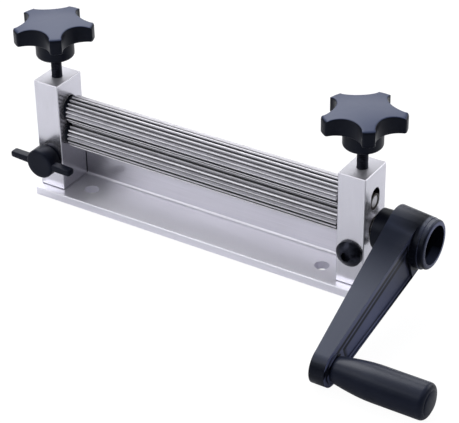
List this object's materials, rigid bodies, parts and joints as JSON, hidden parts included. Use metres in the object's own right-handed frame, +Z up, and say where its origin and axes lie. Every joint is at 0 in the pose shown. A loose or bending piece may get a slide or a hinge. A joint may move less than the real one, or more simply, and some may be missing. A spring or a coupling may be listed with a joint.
{
  "type": "corrugating rolling mill",
  "caption": "Hand-cranked bench mill with meshing fluted rollers between uprights on an angle base, star knobs that set the upper roller's height, and a crank with a turning grip.",
  "frame": {"origin": "on the underside of the base angle, midway between the uprights, directly below the rollers' axes", "axes": "+X along the rollers towards the crank, -Y the side the strip enters and where the foot shows, +Z up"},
  "size_m": [0.2996, 0.1166, 0.1053],
  "materials": {
    "milled_aluminium": "milled and lightly brushed",
    "roller_steel": "machined flutes, bright",
    "bearing_bronze": "turned, plain",
    "washer_nylon": "black, plain",
    "black_moulding": "black moulded plastic, soft sheen",
    "black_oxide_steel": "black oxide",
    "bright_steel": "turned, bright"
  },
  "bodies": {
    "frame": {"base_angle": "milled_aluminium", "left_upright": "milled_aluminium", "right_upright": "milled_aluminium", "left_lower_bush": "bearing_bronze", "right_lower_bush": "bearing_bronze", "left_lower_washer": "washer_nylon", "right_lower_washer": "washer_nylon", "clamp_screw": "black_oxide_steel"},
    "crank": {"lower_roller": "roller_steel", "crank_arm": "black_moulding", "crank_insert": "bright_steel", "crank_washer": "black_oxide_steel", "crank_screw": "black_oxide_steel", "handle_spindle": "bright_steel", "spindle_nut": "black_oxide_steel", "grip_ring": "bright_steel"},
    "grip": {"handle_grip": "black_moulding"},
    "upper_carriage": {"left_upper_block": "bearing_bronze", "right_upper_block": "bearing_bronze", "left_upper_washer": "washer_nylon", "right_upper_washer": "washer_nylon"},
    "upper_roll": {"upper_roller": "roller_steel"},
    "left_knob": {"left_star_knob": "black_moulding", "left_adjusting_screw": "black_oxide_steel"},
    "right_knob": {"right_star_knob": "black_moulding", "right_adjusting_screw": "black_oxide_steel"},
    "wing_seat": {"wing_washer": "black_oxide_steel"},
    "wing_screw": {"wing_stud": "black_oxide_steel", "wing_knob": "black_moulding"}
  },
  "joints": [
    {"name": "crank_turn", "type": "hinge", "parent": "frame", "child": "crank", "pos_m": [0, 0, 0.0375], "axis": [1, 0, 0], "continuous": true},
    {"name": "grip_spin", "type": "hinge", "parent": "crank", "child": "grip", "pos_m": [0.1555, -0.08417, 0.01015], "axis": [1, 0, 0], "continuous": true},
    {"name": "upper_lift", "type": "slide", "parent": "frame", "child": "upper_carriage", "axis": [0, 0, 1], "range_m": [-0.00025, 0.003]},
    {"name": "upper_roller_spin", "type": "hinge", "parent": "upper_carriage", "child": "upper_roll", "pos_m": [0, 0, 0.0525], "axis": [1, 0, 0], "continuous": true},
    {"name": "left_knob_turn", "type": "hinge", "parent": "upper_carriage", "child": "left_knob", "pos_m": [-0.096, 0, 0.0831], "axis": [0, 0, 1], "range_deg": [-90.5, 1080.5]},
    {"name": "right_knob_turn", "type": "hinge", "parent": "upper_carriage", "child": "right_knob", "pos_m": [0.096, 0, 0.0831], "axis": [0, 0, 1], "range_deg": [-90.5, 1080.5]},
    {"name": "wing_feed", "type": "slide", "parent": "frame", "child": "wing_seat", "axis": [0, -1, 0], "range_m": [0, 0.003]},
    {"name": "wing_turn", "type": "hinge", "parent": "wing_seat", "child": "wing_screw", "pos_m": [-0.096, -0.011, 0.0246], "axis": [0, -1, 0], "range_deg": [-0.5, 1080.5]}
  ],
  "couplings": [
    {"joint": "upper_roller_spin", "follows": "crank_turn", "ratio": -1},
    {"joint": "left_knob_turn", "follows": "upper_lift", "rad_per_m": 6283.2},
    {"joint": "right_knob_turn", "follows": "upper_lift", "rad_per_m": 6283.2},
    {"joint": "wing_turn", "follows": "wing_feed", "rad_per_m": 6283.2}
  ]
}
